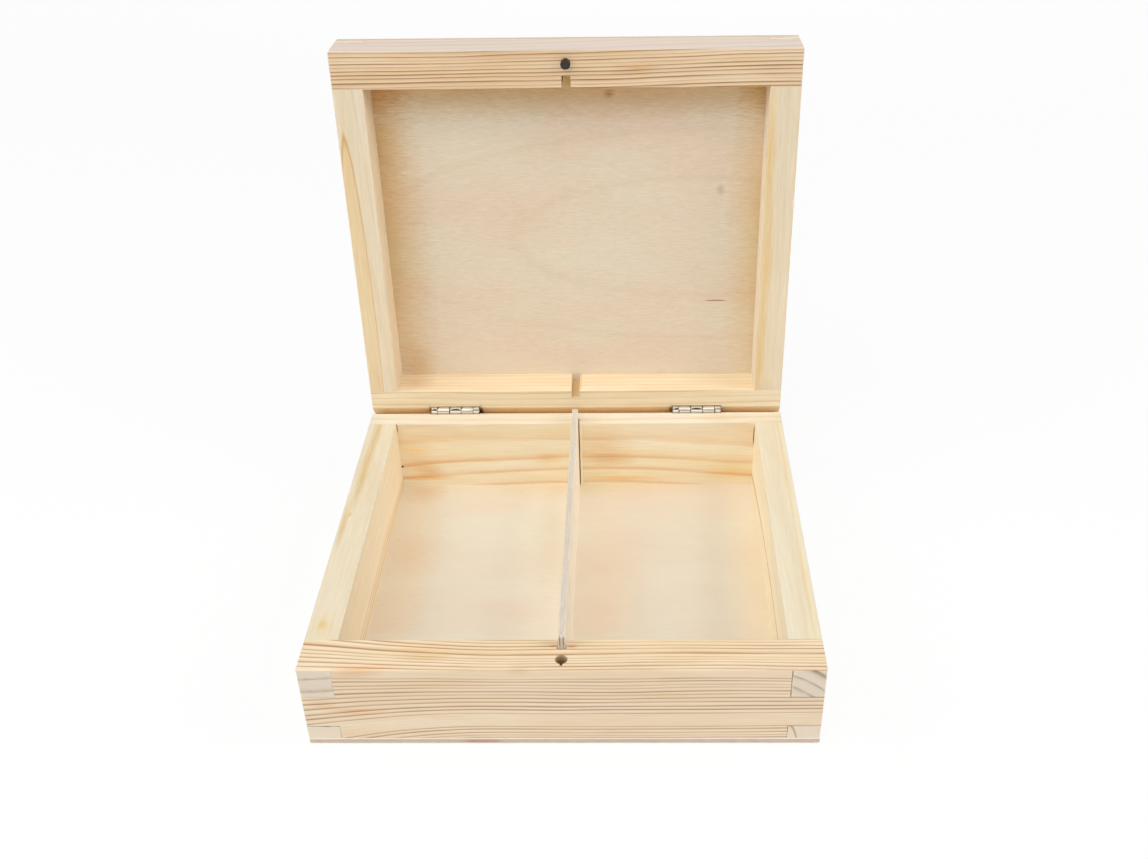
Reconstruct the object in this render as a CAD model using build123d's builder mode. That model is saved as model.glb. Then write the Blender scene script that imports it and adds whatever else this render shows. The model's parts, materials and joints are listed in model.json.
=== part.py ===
from build123d import *
import os
from math import atan2, cos, radians, sin, tan

# A small pine case with a hinged lid, shown open. Two finger-jointed frames carry thin plywood
# panels, a plywood divider stands in slots, and two small hinges lie in a groove along the back.
# Millimetres. Origin at the centre of the underside, +Z up, the front faces -Y.

os.makedirs("parts", exist_ok=True)

# The case
box_width = 220.0
box_depth = 200.0
base_height = 44.0
lid_height = 22.0
side_wall = 14.5
front_wall = 18.0
back_wall = 18.0
panel_thickness = 3.6
rim_gap = 0.6
open_angle = 92.0

# Finger joints, counted from the rim. The case was glued up closed and then sawn apart, so the
# fingers of base and lid are one series with the saw cut in it.
front_finger = 17.2
side_finger = 15.3
base_rim_strip = 0.5
saw_kerf = 2.5

# Sanded edges
corner_round = 0.8
rim_edge = 0.35
outer_edge = 0.4
mouth_edge = 0.25
edge_angle = 45.0

# Divider and the slots that hold it
divider_thickness = 3.0
divider_rise = 7.0
divider_corner = 1.2
divider_end_gap = 0.3
slot_width = 4.3
front_slot_depth = 5.8
back_slot_depth = 4.5

# Hinge line, and the groove along the back that the hinges lie in
hinge_inset = 5.8
rim_setback = 1.9
stop_clearance = 0.1
hinge_from_side = 45.0
hinge_length = 25.6
end_knuckle = 3.2
knuckle_gap = 0.3
pin_diameter = 2.6
pin_running_clearance = 0.05
pin_overhang = 0.3
pin_edge = 0.3
leaf_thickness = 1.05
leaf_width = 7.2
leaf_pocket_gap = 0.25
knuckle_clearance = 0.35
seam_depth = 0.6
base_seam_width = 0.6
base_seam_angle = 188.0
lid_seam_width = 0.4
lid_seam_angle = 201.0

# Hinge screws, with flat heads of the usual right-angled cone
screw_diameter = 1.3
screw_length = 8.0
screw_head_diameter = 2.7
screw_hole_clearance = 0.1
screw_fit = 0.02
screw_spacing = 13.0
screw_from_knuckle = 2.5
drive_width = 0.4
drive_length = 1.7
drive_depth = 0.35
head_cone_angle = 90.0

# Magnet catch
magnet_inset = 6.2
magnet_diameter = 4.5
magnet_reach = 3.2
magnet_seat_depth = 3.4
magnet_edge = 0.3
magnet_fit = 0.02
catch_hole_diameter = 5.3
catch_tip_gap = 2.9
catch_magnet_length = 3.0
catch_notch_width = 1.2
catch_notch_reach = 1.0
catch_notch_depth = 2.0

# Worked out from the sizes above
theta = radians(open_angle)
axis_y = box_depth / 2 - hinge_inset
inner_depth = box_depth - front_wall - back_wall
inner_width = box_width - 2 * side_wall
inner_middle = (front_wall - back_wall) / 2
base_frame_height = base_height - panel_thickness
lid_frame_height = lid_height - panel_thickness
lid_rim_strip = front_finger - base_rim_strip - saw_kerf
knuckle_radius = pin_diameter / 2 + pin_running_clearance + leaf_thickness
leaf_face = knuckle_radius - leaf_thickness
bevel_drop = hinge_inset * tan(theta / 2) - rim_gap / 2 + stop_clearance
bevel_angle = atan2(bevel_drop, rim_setback + hinge_inset)

# Directions of the opened lid, and the rim plane of each half. In both planes the local y axis
# points to the back of the case and the local z axis runs from the rim into the frame.
lid_back = Vector(0, cos(theta), -sin(theta))
lid_up = Vector(0, sin(theta), cos(theta))
hinge_point = Vector(0, axis_y, base_height + rim_gap / 2)
base_rim = Plane(origin=(0, 0, base_height), x_dir=(-1, 0, 0), z_dir=(0, 0, -1))
lid_rim = Plane(
    origin=hinge_point - lid_back * axis_y + lid_up * (rim_gap / 2),
    x_dir=(1, 0, 0),
    z_dir=lid_up,
)

hinge_centre = box_width / 2 - hinge_from_side
hinge_centres = (-hinge_centre, hinge_centre)
screw_offsets = (-screw_spacing / 2, screw_spacing / 2)


def export(piece, name):
    """Label one finished piece and write its file."""
    piece.label = name
    export_step(piece, f"parts/{name}.step")


def side_finger_spans(frame_height, rim_strip):
    """Spans from the rim, where the side walls run through to the front and back faces."""
    spans = []
    start = rim_strip
    while start < frame_height:
        end = min(start + side_finger, frame_height)
        spans.append((start, end))
        start = end + front_finger
    return spans


def front_finger_spans(frame_height, side_spans):
    """What the side fingers leave over, which the front and back walls fill."""
    edges = [0.0] + [value for span in side_spans for value in span] + [frame_height]
    pairs = zip(edges[0::2], edges[1::2])
    return [(start, end) for start, end in pairs if end > start]


def section_plane(rim, across=0.0):
    """A plane square to the hinge line: local x to the back, local y from the rim into the frame."""
    return Plane(origin=rim.origin + rim.x_dir * across, x_dir=rim.y_dir, z_dir=rim.x_dir)


def bevel_plane(rim, across):
    """Square to the hinge line and centred on it: local x along the bevel, local y into the wood."""
    axis_point = rim.origin + rim.y_dir * axis_y - rim.z_dir * (rim_gap / 2) + rim.x_dir * across
    along = rim.y_dir * cos(bevel_angle) + rim.z_dir * sin(bevel_angle)
    return Plane(origin=axis_point, x_dir=along, z_dir=rim.x_dir)


def magnet_plane(rim):
    """Centre of the catch on a rim, near the front."""
    point = rim.from_local_coords((0, magnet_inset - box_depth / 2, 0))
    return Plane(origin=point, x_dir=rim.x_dir, z_dir=rim.z_dir)


def screw_places(rim, centre):
    """Planes on the leaf's open face, one for each screw, whose z axis points into the wood."""
    along = knuckle_radius + screw_from_knuckle
    places = []
    for offset in screw_offsets:
        side = bevel_plane(rim, centre + offset)
        point = side.from_local_coords((along, leaf_face, 0))
        places.append(Plane(origin=point, x_dir=rim.x_dir, z_dir=side.y_dir))
    return places


def half_block(rim, height, catch_diameter, catch_depth, notch_reach):
    """One closed half as if cut from a single blank; each board keeps its own share of it."""
    depthwise = Axis(rim.origin, rim.z_dir)
    groove_start = axis_y - rim_setback
    groove_end = box_depth / 2 + hinge_inset
    groove_depth = bevel_drop + hinge_inset * tan(bevel_angle)
    pocket_length = hinge_length + 2 * leaf_pocket_gap
    with BuildPart() as block:
        with BuildSketch(rim):
            Rectangle(box_width, box_depth)
        extrude(amount=height)
        fillet(block.edges().filter_by(depthwise), radius=corner_round)

        # The bevel that makes half of the groove along the back
        with BuildSketch(section_plane(rim, -box_width)):
            with BuildLine():
                Polyline(
                    (groove_start, 0),
                    (groove_end, groove_depth),
                    (groove_end, -hinge_inset),
                    (groove_start, -hinge_inset),
                    close=True,
                )
            make_face()
        extrude(amount=2 * box_width, mode=Mode.SUBTRACT)

        # Sanded edges round the rim, the far side and the mouth
        chamfer(block.faces().sort_by(depthwise)[0].edges(), length=rim_edge)
        chamfer(block.faces().sort_by(depthwise)[-1].edges(), length=outer_edge)
        with BuildSketch(rim):
            with Locations((0, inner_middle)):
                Rectangle(inner_width + 2 * mouth_edge, inner_depth + 2 * mouth_edge)
        extrude(amount=mouth_edge, taper=edge_angle, mode=Mode.SUBTRACT)

        # Hinge seats: leaf pockets, room for the knuckles and screw holes
        for centre in hinge_centres:
            with BuildSketch(bevel_plane(rim, centre - pocket_length / 2)):
                with Locations((0, -leaf_width)):
                    Rectangle(
                        leaf_width + leaf_pocket_gap,
                        leaf_width + knuckle_radius,
                        align=(Align.MIN, Align.MIN),
                    )
                Circle(knuckle_radius + knuckle_clearance)
            extrude(amount=pocket_length, mode=Mode.SUBTRACT)
            for place in screw_places(rim, centre):
                with BuildSketch(place):
                    Circle(screw_diameter / 2 + screw_fit)
                extrude(amount=screw_length + screw_fit, mode=Mode.SUBTRACT)

        # The bore of the catch, and the small notch at the front of the one that the lid drops into
        with BuildSketch(magnet_plane(rim)):
            Circle(catch_diameter / 2)
        extrude(amount=catch_depth, mode=Mode.SUBTRACT)
        if notch_reach > 0:
            with BuildSketch(magnet_plane(rim)):
                Rectangle(
                    catch_notch_width,
                    catch_diameter / 2 + notch_reach,
                    align=(Align.CENTER, Align.MAX),
                )
            extrude(amount=catch_notch_depth, mode=Mode.SUBTRACT)
    return block.part


def cross_wall(rim, frame_height, rim_strip, block, facing):
    """Front wall (facing -1) or back wall (facing 1): a full-width board, notched for the sides."""
    thickness = front_wall if facing < 0 else back_wall
    slot_depth = front_slot_depth if facing < 0 else back_slot_depth
    middle = facing * (box_depth - thickness) / 2
    inner_face = facing * (box_depth / 2 - thickness)
    corner = (box_width - side_wall) / 2
    with BuildPart() as wall:
        with BuildSketch(rim):
            with Locations((0, middle)):
                Rectangle(box_width, thickness)
        extrude(amount=frame_height)
        for start, end in side_finger_spans(frame_height, rim_strip):
            with BuildSketch(rim.offset(start)):
                with Locations((-corner, middle), (corner, middle)):
                    Rectangle(side_wall, thickness)
            extrude(amount=end - start, mode=Mode.SUBTRACT)
        with BuildSketch(rim):
            with Locations((0, inner_face)):
                Rectangle(slot_width, 2 * slot_depth)
        extrude(amount=frame_height, mode=Mode.SUBTRACT)
        add(block, mode=Mode.INTERSECT)
    return wall


def side_board(rim, frame_height, rim_strip, block, side):
    """A side wall, whose fingers run through to the front and back faces."""
    centre = side * (box_width - side_wall) / 2
    side_spans = side_finger_spans(frame_height, rim_strip)
    front_middle = -(box_depth - front_wall) / 2
    back_middle = (box_depth - back_wall) / 2
    with BuildPart() as wall:
        with BuildSketch(rim):
            with Locations((centre, 0)):
                Rectangle(side_wall, box_depth)
        extrude(amount=frame_height)
        for start, end in front_finger_spans(frame_height, side_spans):
            with BuildSketch(rim.offset(start)):
                with Locations((centre, front_middle)):
                    Rectangle(side_wall, front_wall)
                with Locations((centre, back_middle)):
                    Rectangle(side_wall, back_wall)
            extrude(amount=end - start, mode=Mode.SUBTRACT)
        add(block, mode=Mode.INTERSECT)
    return wall


def cover_panel(rim, frame_height, block):
    """The thin plywood sheet glued over the far side of a frame."""
    with BuildPart() as panel:
        with BuildSketch(rim.offset(frame_height)):
            Rectangle(box_width, box_depth)
        extrude(amount=panel_thickness)
        add(block, mode=Mode.INTERSECT)
    return panel


def hinge_leaf(rim, centre, knuckles, seam_width, seam_angle):
    """A leaf with its knuckles, each given by its start and end along the hinge, and their seam."""
    first = centre - hinge_length / 2
    root = knuckle_radius + knuckle_clearance
    with BuildPart() as leaf:
        with BuildSketch(bevel_plane(rim, first)):
            with Locations((root, leaf_face)):
                Rectangle(leaf_width - root, leaf_thickness, align=(Align.MIN, Align.MIN))
        extrude(amount=hinge_length)
        for start, end in knuckles:
            with BuildSketch(bevel_plane(rim, first + start)):
                Circle(knuckle_radius)
                with Locations((0, leaf_face)):
                    Rectangle(root, leaf_thickness, align=(Align.MIN, Align.MIN))
                Circle(pin_diameter / 2 + pin_running_clearance, mode=Mode.SUBTRACT)
                with PolarLocations(knuckle_radius, 1, start_angle=seam_angle):
                    Rectangle(2 * seam_depth, seam_width, mode=Mode.SUBTRACT)
            extrude(amount=end - start)
        for place in screw_places(rim, centre):
            with Locations(Plane(origin=place.origin, x_dir=place.x_dir, z_dir=-place.z_dir)):
                CounterSinkHole(
                    radius=screw_diameter / 2 + screw_hole_clearance,
                    counter_sink_radius=screw_head_diameter / 2 + screw_hole_clearance,
                    depth=2 * leaf_thickness,
                    counter_sink_angle=head_cone_angle,
                )
    return leaf


def hinge_screws(rim):
    """All screws of one half, as separate solids with a cross recess in each head."""
    head_depth = (screw_head_diameter - screw_diameter) / 2 / tan(radians(head_cone_angle / 2))
    with BuildPart() as screws:
        for centre in hinge_centres:
            for place in screw_places(rim, centre):
                with BuildSketch(Plane(origin=place.origin, x_dir=place.x_dir, z_dir=-place.y_dir)):
                    with BuildLine():
                        Polyline(
                            (0, 0),
                            (screw_head_diameter / 2, 0),
                            (screw_diameter / 2, head_depth),
                            (screw_diameter / 2, screw_length - screw_diameter),
                            (0, screw_length),
                            close=True,
                        )
                    make_face()
                revolve(axis=Axis(place.origin, place.z_dir))
                with BuildSketch(place):
                    Rectangle(drive_length, drive_width)
                    Rectangle(drive_width, drive_length)
                extrude(amount=drive_depth, mode=Mode.SUBTRACT)
    return screws


def knuckle_spans():
    """Spans of the five knuckles along a hinge: narrow at both ends, alternating between leaves."""
    middle = (hinge_length - 2 * end_knuckle) / 3
    edges = [0.0]
    for length in (end_knuckle, middle, middle, middle, end_knuckle):
        edges.append(edges[-1] + length)
    spans = []
    for start, end in zip(edges[:-1], edges[1:]):
        front = start if start == 0 else start + knuckle_gap / 2
        back = end if end == edges[-1] else end - knuckle_gap / 2
        spans.append((front, back))
    return spans


catch_magnet_top = magnet_reach - rim_gap + catch_tip_gap
catch_hole_depth = catch_magnet_top + catch_magnet_length
base_block = half_block(
    base_rim, base_height, catch_hole_diameter, catch_hole_depth, catch_notch_reach
)
magnet_bore = magnet_diameter + 2 * magnet_fit
lid_block = half_block(lid_rim, lid_height, magnet_bore, magnet_seat_depth, 0.0)

# Base frame. The local x axis of the base rim points to the left of the case.
base_front_wall = cross_wall(base_rim, base_frame_height, base_rim_strip, base_block, -1)
export(base_front_wall.part, "base_front_wall")

base_back_wall = cross_wall(base_rim, base_frame_height, base_rim_strip, base_block, 1)
export(base_back_wall.part, "base_back_wall")

base_left_wall = side_board(base_rim, base_frame_height, base_rim_strip, base_block, 1)
export(base_left_wall.part, "base_left_wall")

base_right_wall = side_board(base_rim, base_frame_height, base_rim_strip, base_block, -1)
export(base_right_wall.part, "base_right_wall")

base_panel = cover_panel(base_rim, base_frame_height, base_block)
export(base_panel.part, "base_panel")

# Lid frame
lid_front_wall = cross_wall(lid_rim, lid_frame_height, lid_rim_strip, lid_block, -1)
export(lid_front_wall.part, "lid_front_wall")

lid_back_wall = cross_wall(lid_rim, lid_frame_height, lid_rim_strip, lid_block, 1)
export(lid_back_wall.part, "lid_back_wall")

lid_left_wall = side_board(lid_rim, lid_frame_height, lid_rim_strip, lid_block, -1)
export(lid_left_wall.part, "lid_left_wall")

lid_right_wall = side_board(lid_rim, lid_frame_height, lid_rim_strip, lid_block, 1)
export(lid_right_wall.part, "lid_right_wall")

lid_panel = cover_panel(lid_rim, lid_frame_height, lid_block)
export(lid_panel.part, "lid_panel")

# Divider: a plywood strip on edge, in the slots of the front and back walls, standing on the panel
divider_front = front_wall - front_slot_depth + divider_end_gap - box_depth / 2
divider_back = box_depth / 2 - back_wall + back_slot_depth - divider_end_gap
with BuildPart() as divider:
    with BuildSketch(Plane.YZ.offset(-divider_thickness / 2)):
        with Locations((divider_front, panel_thickness)):
            Rectangle(
                divider_back - divider_front,
                base_frame_height + divider_rise,
                align=(Align.MIN, Align.MIN),
            )
    extrude(amount=divider_thickness)
    upper_corners = divider.edges().filter_by(Axis.X).group_by(Axis.Z)[-1]
    fillet(upper_corners, radius=divider_corner)
export(divider.part, "divider")

# Magnets of the catch: the lid's stands proud and enters the hole in the base
with BuildPart() as lid_magnet:
    with BuildSketch(magnet_plane(lid_rim).offset(-magnet_reach)):
        Circle(magnet_diameter / 2)
    extrude(amount=magnet_reach + magnet_seat_depth)
    chamfer(lid_magnet.edges().filter_by(GeomType.CIRCLE), length=magnet_edge)
export(lid_magnet.part, "lid_magnet")

with BuildPart() as base_magnet:
    with BuildSketch(magnet_plane(base_rim).offset(catch_magnet_top)):
        Circle(catch_hole_diameter / 2 - magnet_fit)
    extrude(amount=catch_magnet_length)
    chamfer(base_magnet.edges().filter_by(GeomType.CIRCLE), length=magnet_edge)
export(base_magnet.part, "base_magnet")

# Hinges: the base leaves carry the outer and middle knuckles, the lid leaves the other two
spans = knuckle_spans()
hinge_names = ("left", "right")
for name, centre in zip(hinge_names, hinge_centres):
    base_leaf = hinge_leaf(base_rim, -centre, spans[0::2], base_seam_width, base_seam_angle)
    export(base_leaf.part, f"{name}_hinge_base_leaf")

    lid_leaf = hinge_leaf(lid_rim, centre, spans[1::2], lid_seam_width, lid_seam_angle)
    export(lid_leaf.part, f"{name}_hinge_lid_leaf")

    pin_start = centre - hinge_length / 2 - pin_overhang
    with BuildPart() as hinge_pin:
        with BuildSketch(Plane(origin=hinge_point, x_dir=(0, 1, 0), z_dir=(1, 0, 0)).offset(pin_start)):
            Circle(pin_diameter / 2)
        extrude(amount=hinge_length + 2 * pin_overhang)
        chamfer(hinge_pin.edges().filter_by(GeomType.CIRCLE), length=pin_edge)
    export(hinge_pin.part, f"{name}_hinge_pin")

base_hinge_screws = hinge_screws(base_rim)
export(base_hinge_screws.part, "base_hinge_screws")

lid_hinge_screws = hinge_screws(lid_rim)
export(lid_hinge_screws.part, "lid_hinge_screws")
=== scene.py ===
# %% [markdown]
# A small pine box with a hinged lid, dressed for its picture.
# The box was drawn and packed in CAD first, so its boards, hinges and magnets already have their
# real shapes. This lesson gives them their wood, plywood and metal, makes the small screws with the
# threads that CAD left off, and sets up the camera and the light.
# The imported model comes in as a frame: a piece is a mesh whose object stays at the origin.

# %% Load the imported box
import json
import math

import bpy
from mathutils import Matrix, Vector


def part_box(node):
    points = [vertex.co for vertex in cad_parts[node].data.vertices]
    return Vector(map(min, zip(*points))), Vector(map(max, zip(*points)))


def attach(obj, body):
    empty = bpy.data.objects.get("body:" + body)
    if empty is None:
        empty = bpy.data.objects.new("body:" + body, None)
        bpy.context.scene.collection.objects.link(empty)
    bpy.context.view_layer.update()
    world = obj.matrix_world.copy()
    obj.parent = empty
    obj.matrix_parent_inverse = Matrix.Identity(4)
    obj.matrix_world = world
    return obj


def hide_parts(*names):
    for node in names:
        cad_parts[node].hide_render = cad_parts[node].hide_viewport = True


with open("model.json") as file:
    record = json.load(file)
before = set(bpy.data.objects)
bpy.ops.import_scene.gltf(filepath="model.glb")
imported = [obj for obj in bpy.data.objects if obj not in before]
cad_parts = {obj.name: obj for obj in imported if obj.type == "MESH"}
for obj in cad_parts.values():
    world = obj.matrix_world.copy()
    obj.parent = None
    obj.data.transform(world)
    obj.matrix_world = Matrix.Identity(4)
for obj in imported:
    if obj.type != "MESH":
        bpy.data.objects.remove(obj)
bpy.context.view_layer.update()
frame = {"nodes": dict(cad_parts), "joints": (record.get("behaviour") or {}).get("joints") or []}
nodes = frame["nodes"]
print("Pieces in the frame:", len(nodes))

# %% [markdown]
# Blender mixes light in linear values, while a colour that is picked from a picture is in sRGB.
# One function turns a hex colour into linear values, and every colour below goes through it.
# A material is a small network of nodes. One helper adds a node, sets its properties and feeds its
# inputs, and three shorter ones add the nodes that come most often: a sum, a sum with vectors and a
# mix of two colours. Each network below then reads like a recipe, from the first noise to the last mix.

# %% Helpers for materials
def linear(hex_colour):
    """Turns an sRGB colour such as "ebd5a6" into the linear RGBA that a shader expects."""
    channels = []
    for start in (0, 2, 4):
        value = int(hex_colour[start:start + 2], 16) / 255
        if value <= 0.04045:
            channels.append(value / 12.92)
        else:
            channels.append(((value + 0.055) / 1.055) ** 2.4)
    return (*channels, 1.0)


def add(tree, kind, settings, inputs):
    """Adds a node. Settings are its properties. An input, given by name or number, takes a plain
    value, a socket, or another node, whose first output in use is then linked. A list links each."""
    node = tree.nodes.new(kind)
    for name, value in settings.items():
        setattr(node, name, value)
    for name, value in inputs.items():
        for item in value if isinstance(value, list) else [value]:
            if isinstance(item, bpy.types.Node):
                item = next(output for output in item.outputs if output.enabled)
            if isinstance(item, bpy.types.NodeSocket):
                tree.links.new(item, node.inputs[name])
            else:
                node.inputs[name].default_value = item
    return node


def worked_out(tree, operation, *numbers, clamp=False):
    """One sum, whose numbers may be plain values, nodes or sockets."""
    settings = {"operation": operation, "use_clamp": clamp}
    return add(tree, "ShaderNodeMath", settings, dict(enumerate(numbers)))


def vector_worked_out(tree, operation, *vectors):
    """One sum with vectors. Most give a vector, but a length or a dot product is a number."""
    return add(tree, "ShaderNodeVectorMath", {"operation": operation}, dict(enumerate(vectors)))


def mixed(tree, share, first, second, blend="MIX"):
    """The first colour with a share of the second mixed in, or laid over it as a tint by MULTIPLY."""
    return add(tree, "ShaderNodeMix", {"data_type": "RGBA", "blend_type": blend}, {
        "Factor": share, 6: first, 7: second})


def new_material(name):
    """An empty material, with its node tree and the shader that every finish here ends in."""
    material = bpy.data.materials.new(name)
    material.use_nodes = True
    tree = material.node_tree
    tree.nodes.clear()
    shader = add(tree, "ShaderNodeBsdfPrincipled", {}, {})
    add(tree, "ShaderNodeOutputMaterial", {}, {"Surface": shader})
    return material, tree, shader


def dress(node_name, material):
    """Gives a CAD piece its material, in place of the plain one from CAD."""
    mesh = nodes[node_name].data
    mesh.materials.clear()
    mesh.materials.append(material)


print("A mid grey of 808080 is", round(linear("808080")[0], 3), "in linear light")

# %% [markdown]
# The photograph was taken from in front of the box and above it, a little right of its middle.
# Where the camera stood was worked out from the corners of the box, whose real places are known.
# The lens is given by its focal length on a 36 mm wide sensor. The small shift moves the frame
# without turning the camera, because the picture was cropped off centre.

# %% Camera
camera_data = bpy.data.cameras.new("camera")
camera_data.sensor_width = 36.0
camera_data.lens = 39.636
camera_data.shift_x = -0.0313
camera_data.shift_y = -0.0127
camera = bpy.data.objects.new("camera", camera_data)
camera.location = (0.0288, -0.4759, 0.4192)
camera.rotation_euler = (math.radians(56.467), math.radians(0.703), math.radians(0.588))
bpy.context.scene.collection.objects.link(camera)
bpy.context.scene.camera = camera
bpy.context.scene.view_settings.view_transform = "Standard"
print("Camera", round(camera.location.length, 3), "m from the middle of the box's underside")

# %% [markdown]
# Product pictures like this one are lit by big soft lamps in a white room, so shadows nearly vanish.
# A softbox above the camera lights the rims and the faces towards us. One at each side reaches the
# inner walls and the floor of the box, which would be brown and dull without it. Two weak ones stand
# low: one in front lights the foot of the upright lid, and one behind keeps the box's back from going
# grey. The world is a plain white dome that fills in the rest.
# The dome lights the wood at a fraction of full strength but looks fully white to the camera and in
# reflections. The Light Path node tells those kinds of ray apart.

# %% Light
dome_strength = 0.14
box_middle = Vector((0, 0, 0.08))
softboxes = {
    "front_softbox": {"place": Vector((-0.2, -0.75, 1.25)), "size": 0.9, "power": 8.0},
    "left_softbox": {"place": Vector((-0.95, -0.15, 0.8)), "size": 0.8, "power": 7.3},
    "right_softbox": {"place": Vector((0.95, -0.15, 0.8)), "size": 0.8, "power": 7.7},
    "low_softbox": {"place": Vector((0.1, -1.1, 0.35)), "size": 0.8, "power": 1.5},
    "back_softbox": {"place": Vector((0.1, 1.25, 0.3)), "size": 0.9, "power": 3.0},
}


def seen_directly(tree):
    """A node that is 1 for rays that show the surroundings: from the camera, or off metal or glass."""
    path = add(tree, "ShaderNodeLightPath", {}, {})
    camera_or_gloss = worked_out(
        tree, "MAXIMUM", path.outputs["Is Camera Ray"], path.outputs["Is Glossy Ray"])
    return worked_out(tree, "MAXIMUM", camera_or_gloss, path.outputs["Is Transmission Ray"])


world = bpy.data.worlds.new("white_room")
bpy.context.scene.world = world
world.use_nodes = True
sky = world.node_tree
sky.nodes.clear()
lighting = add(sky, "ShaderNodeBackground", {}, {"Color": linear("ffffff"), "Strength": dome_strength})
backdrop = add(sky, "ShaderNodeBackground", {}, {"Color": linear("ffffff"), "Strength": 1.0})
room = add(sky, "ShaderNodeMixShader", {}, {0: seen_directly(sky), 1: lighting, 2: backdrop})
add(sky, "ShaderNodeOutputWorld", {}, {"Surface": room})

for name, box in softboxes.items():
    lamp_data = bpy.data.lights.new(name, "AREA")
    lamp_data.shape = "SQUARE"
    lamp_data.size = box["size"]
    lamp_data.energy = box["power"]
    lamp = bpy.data.objects.new(name, lamp_data)
    lamp.location = box["place"]
    lamp.rotation_euler = (box_middle - box["place"]).to_track_quat("-Z", "Y").to_euler()
    bpy.context.scene.collection.objects.link(lamp)
print("Softboxes:", len(softboxes), "and a dome of strength", dome_strength)

# %% [markdown]
# The box stands on a white sheet that runs out of the picture. In the photograph the sheet is so
# bright that it has almost no shadow. A floor that is mostly its own white and only partly lit keeps
# a trace of the box's shadow, and still gives the wood the light that a real white sheet throws up.
# Further off, the lamps no longer reach it, so there it fades to its own white and hides its edge.

# %% Floor
floor_reach = 6.0
white_near, white_far = 0.9, 1.0
fading_from, fading_to = 0.4, 1.8
corners = [(-floor_reach, -floor_reach, 0), (floor_reach, -floor_reach, 0),
           (floor_reach, floor_reach, 0), (-floor_reach, floor_reach, 0)]
floor_mesh = bpy.data.meshes.new("white_sheet")
floor_mesh.from_pydata(corners, [], [(0, 1, 2, 3)])
floor = bpy.data.objects.new("white_sheet", floor_mesh)
bpy.context.scene.collection.objects.link(floor)
paper, tree, shader = new_material("white_paper_sheet")
shader.inputs["Base Color"].default_value = linear("f4f4f3")
shader.inputs["Roughness"].default_value = 0.9
glow = add(tree, "ShaderNodeEmission", {}, {"Color": linear("ffffff"), "Strength": 1.0})
coordinates = add(tree, "ShaderNodeTexCoord", {}, {})
from_box = vector_worked_out(tree, "LENGTH", coordinates.outputs["Object"])
whiteness = add(tree, "ShaderNodeMapRange", {}, {
    "Value": from_box, "From Min": fading_from, "From Max": fading_to,
    "To Min": white_near, "To Max": white_far})
share = worked_out(tree, "MULTIPLY", seen_directly(tree), whiteness)
sheet = add(tree, "ShaderNodeMixShader", {}, {0: share, 1: shader, 2: glow})
tree.links.new(sheet.outputs[0], tree.nodes["Material Output"].inputs["Surface"])
floor_mesh.materials.append(paper)
print("Floor", 2 * floor_reach, "m wide")

# %% [markdown]
# Wood is a solid with a pattern all through it: a tree lays down one ring a year around its pith,
# pale in spring and darker in late summer, and a board is a straight cut out of those rings.
# So the pattern is made in space, not painted on a face. Each board says where it lay in its tree,
# and its faces, edges and end grain then show lines, flames or arcs that meet at the corners.
# The CAD model holds the lid open. The lid's boards are turned shut first, by the hinge's own line
# and angle, so that a board of the lid is measured just like one of the base.

# %% Where a board lay in its tree
joint = frame["joints"][0]
hinge_line = Vector(joint["pos_m"])
open_angle = math.radians(max(joint["range_deg"]))
as_it_stands = Matrix.Identity(4)
turned_shut = (Matrix.Translation(hinge_line) @ Matrix.Rotation(open_angle, 4, "X")
               @ Matrix.Translation(-hinge_line))
millimetres = Matrix.Scale(1000, 4)
grain_across = Matrix.Identity(4)
grain_back = Matrix.Rotation(math.radians(-90), 4, "Z")


def tree_place(closing, grain, pith, lean):
    """From the box's metres to millimetres along and across the pith of the board's tree."""
    tilt = Matrix.Rotation(math.radians(lean[0]), 4, "Y") @ Matrix.Rotation(math.radians(lean[1]), 4, "Z")
    return tilt @ grain @ Matrix.Translation(-Vector(pith)) @ millimetres @ closing


def mapped(tree, place):
    """Object coordinates carried through a place matrix by one Mapping node."""
    coordinates = add(tree, "ShaderNodeTexCoord", {}, {})
    return add(tree, "ShaderNodeMapping", {"vector_type": "POINT"}, {
        "Vector": coordinates.outputs["Object"], "Location": place.to_translation(),
        "Rotation": place.to_quaternion().to_euler(), "Scale": place.to_scale()})


def facing(tree, direction):
    """How far the surface faces one way: 1 straight at it, 0 sideways, and 1 again turned away."""
    coordinates = add(tree, "ShaderNodeTexCoord", {}, {})
    turn = vector_worked_out(tree, "DOT_PRODUCT", coordinates.outputs["Normal"], direction.normalized())
    return worked_out(tree, "ABSOLUTE", turn)


print("The lid shuts by", round(math.degrees(open_angle)), "degrees")

# %% [markdown]
# Nothing in wood is even. Noise gives every unevenness here, and it is stretched along the grain,
# since a tree changes slowly along its trunk and quickly across it. The lengths are in millimetres,
# so a drift of tone can be 70 mm long and a fibre 16 mm, as on a real board. The noises of one board
# have different seeds, so that no two of them are alike.

# %% Noise that follows the grain
fibre_length, fibre_width = 16, 0.7


def figure(tree, wood, length, width, seed, detail=2.0, roughness=0.5):
    """Soft noise with spots about as long and as wide as given, in millimetres."""
    squeezed = vector_worked_out(tree, "MULTIPLY", wood, (1 / length, 1 / width, 1 / width))
    return add(tree, "ShaderNodeTexNoise", {"noise_dimensions": "4D"}, {
        "Vector": squeezed, "W": seed, "Scale": 1.0, "Detail": detail, "Roughness": roughness})


def between(tree, value, low, high, to_low=0.0, to_high=1.0):
    """A value's way from low to high, as a number from to_low to to_high that stops at both ends."""
    return add(tree, "ShaderNodeMapRange", {}, {
        "Value": value, "From Min": low, "From Max": high, "To Min": to_low, "To Max": to_high})


print("A fibre's noise is squeezed", round(fibre_length / fibre_width), "times as much across the grain")

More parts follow.
